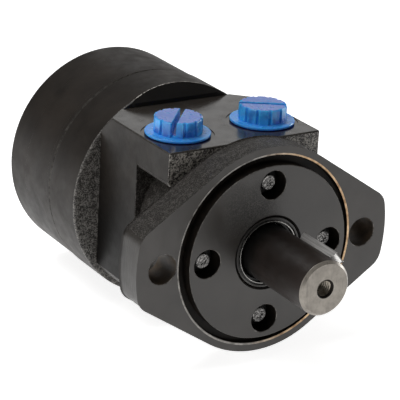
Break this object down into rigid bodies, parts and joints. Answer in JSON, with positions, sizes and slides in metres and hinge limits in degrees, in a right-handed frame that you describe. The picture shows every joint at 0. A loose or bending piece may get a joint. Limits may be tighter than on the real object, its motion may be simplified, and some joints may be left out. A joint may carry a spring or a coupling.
{
  "type": "orbital hydraulic motor",
  "caption": "Orbital hydraulic motor: keyed shaft, two-bolt flange with pilot, cast port block with plugged ports, gerotor drum with bolted end cover.",
  "frame": {"origin": "centre of the flange's mounting face, on the shaft's axis", "axes": "+Y along the shaft from its tip towards the end cover, +Z out of the port face, +X to the right seen from the shaft end"},
  "size_m": [0.1328, 0.1964, 0.1064],
  "materials": {
    "casting_paint": "satin",
    "screw_steel": "satin",
    "bolt_oxide": "satin",
    "rubber_seal": "satin",
    "shaft_oxide": "satin",
    "key_steel": "satin",
    "ground_steel": "gloss",
    "plug_blue": "gloss"
  },
  "bodies": {
    "casing": {"mounting_flange": "casting_paint", "flange_screw_1": "screw_steel", "flange_screw_2": "screw_steel", "flange_screw_3": "screw_steel", "flange_screw_4": "screw_steel", "dust_seal": "rubber_seal", "shaft_seal": "rubber_seal", "seal_backup_ring": "ground_steel", "flange_seal": "rubber_seal", "thrust_race_front": "ground_steel", "housing": "casting_paint", "spacer_plate": "casting_paint", "stator_ring": "casting_paint", "end_cover": "casting_paint", "cover_bolt_1": "bolt_oxide", "cover_bolt_2": "bolt_oxide", "cover_bolt_3": "bolt_oxide", "cover_bolt_4": "bolt_oxide", "cover_bolt_5": "bolt_oxide", "cover_bolt_6": "bolt_oxide", "cover_bolt_7": "bolt_oxide", "housing_face_seal": "rubber_seal", "stator_face_seal": "rubber_seal", "cover_face_seal": "rubber_seal"},
    "shaft": {"output_shaft": "shaft_oxide", "shaft_key": "key_steel", "thrust_race_rear": "ground_steel"},
    "cage": {"needle_cage": "ground_steel"},
    "orbit": {"drive_spacer": "ground_steel"},
    "rotor": {"rotor": "ground_steel"},
    "drive": {"cardan_drive": "ground_steel"},
    "plug_left": {"port_plug_left": "plug_blue"},
    "plug_right": {"port_plug_right": "plug_blue"}
  },
  "joints": [
    {"name": "shaft_spin", "type": "hinge", "parent": "casing", "child": "shaft", "pos_m": [0, 0, 0], "axis": [0, 1, 0], "continuous": true},
    {"name": "cage_spin", "type": "hinge", "parent": "casing", "child": "cage", "pos_m": [0, 0.0116, 0], "axis": [0, 1, 0], "continuous": true},
    {"name": "rotor_orbit", "type": "hinge", "parent": "casing", "child": "orbit", "pos_m": [0, 0.1214, 0], "axis": [0, 1, 0], "continuous": true},
    {"name": "rotor_spin", "type": "hinge", "parent": "orbit", "child": "rotor", "pos_m": [0, 0.1214, 0.003], "axis": [0, 1, 0], "continuous": true},
    {"name": "drive_spin", "type": "hinge", "parent": "orbit", "child": "drive", "pos_m": [0, 0.061, 0], "axis": [0, 0.9988, 0.0485], "continuous": true},
    {"name": "plug_left_pull", "type": "slide", "parent": "casing", "child": "plug_left", "axis": [0, 0, 1], "range_m": [0, 0.025]},
    {"name": "plug_right_pull", "type": "slide", "parent": "casing", "child": "plug_right", "axis": [0, 0, 1], "range_m": [0, 0.025]}
  ],
  "couplings": [
    {"joint": "cage_spin", "follows": "shaft_spin", "ratio": 0.5},
    {"joint": "rotor_orbit", "follows": "shaft_spin", "ratio": -6},
    {"joint": "rotor_spin", "follows": "shaft_spin", "ratio": 7},
    {"joint": "drive_spin", "follows": "shaft_spin", "ratio": 7}
  ]
}
